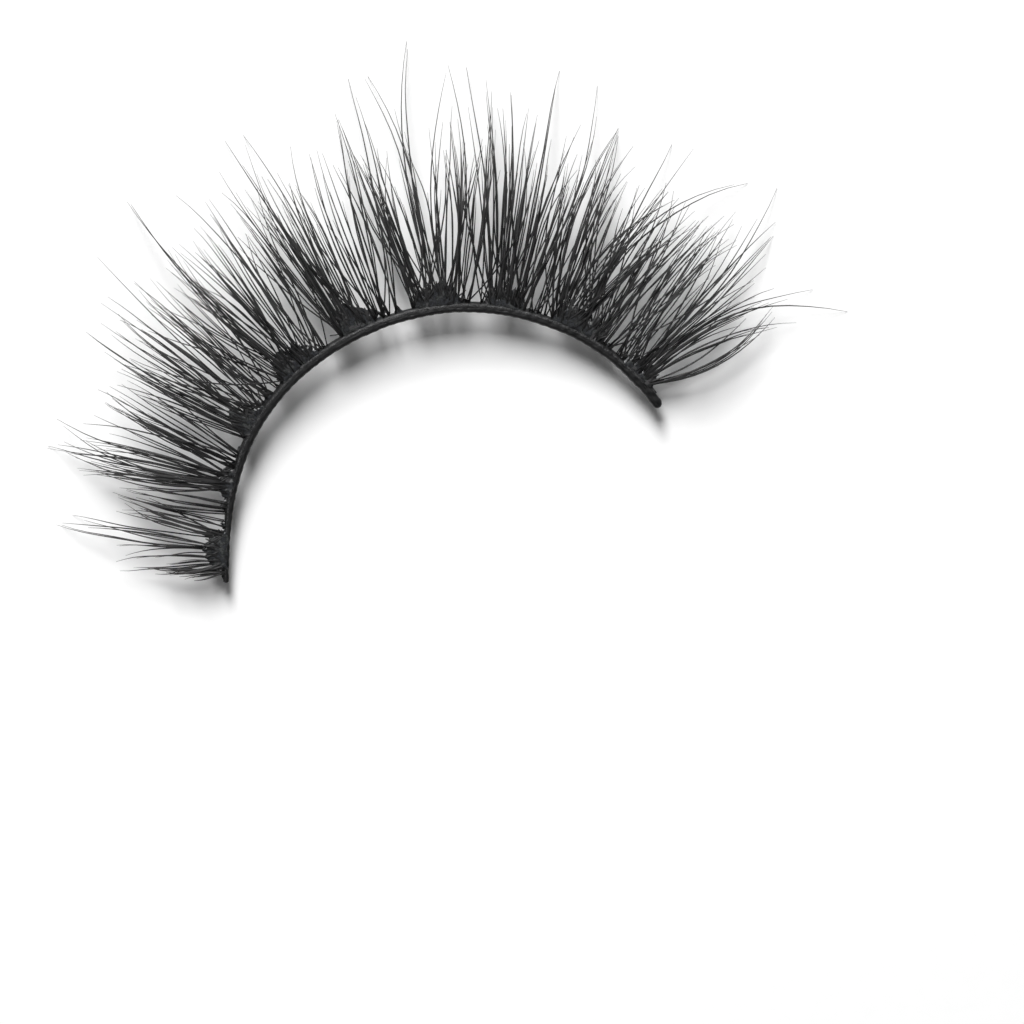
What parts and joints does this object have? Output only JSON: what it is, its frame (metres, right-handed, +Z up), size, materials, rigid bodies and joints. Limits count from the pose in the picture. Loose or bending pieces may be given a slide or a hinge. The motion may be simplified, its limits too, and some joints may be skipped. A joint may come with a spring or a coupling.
{
  "type": "false eyelash strip",
  "caption": "Curved strip lash: a thin cord band bent to the lid, with glued clusters of tapering curled hair fanning out along it and thin tufts between them.",
  "frame": {"origin": "middle of the bounding box's floor side, the strip lying on its hair tips", "axes": "+X along the band's chord from the inner end to the outer tab, +Y outward over the hair, +Z up"},
  "size_m": [0.0434, 0.0228, 0.0043],
  "materials": {
    "band_cord": "satin black latex-coated cotton cord",
    "black_fibre": "matte black tapered synthetic hair, glued at the root"
  },
  "bodies": {
    "root": {"band": "band_cord", "cluster_01": "black_fibre", "cluster_02": "black_fibre", "cluster_03": "black_fibre", "cluster_04": "black_fibre", "cluster_05": "black_fibre", "cluster_06": "black_fibre", "cluster_07": "black_fibre", "cluster_08": "black_fibre", "cluster_09": "black_fibre", "filler_01": "black_fibre", "filler_02": "black_fibre", "filler_03": "black_fibre", "filler_04": "black_fibre", "filler_05": "black_fibre", "filler_06": "black_fibre", "filler_07": "black_fibre", "filler_08": "black_fibre"}
  },
  "joints": []
}
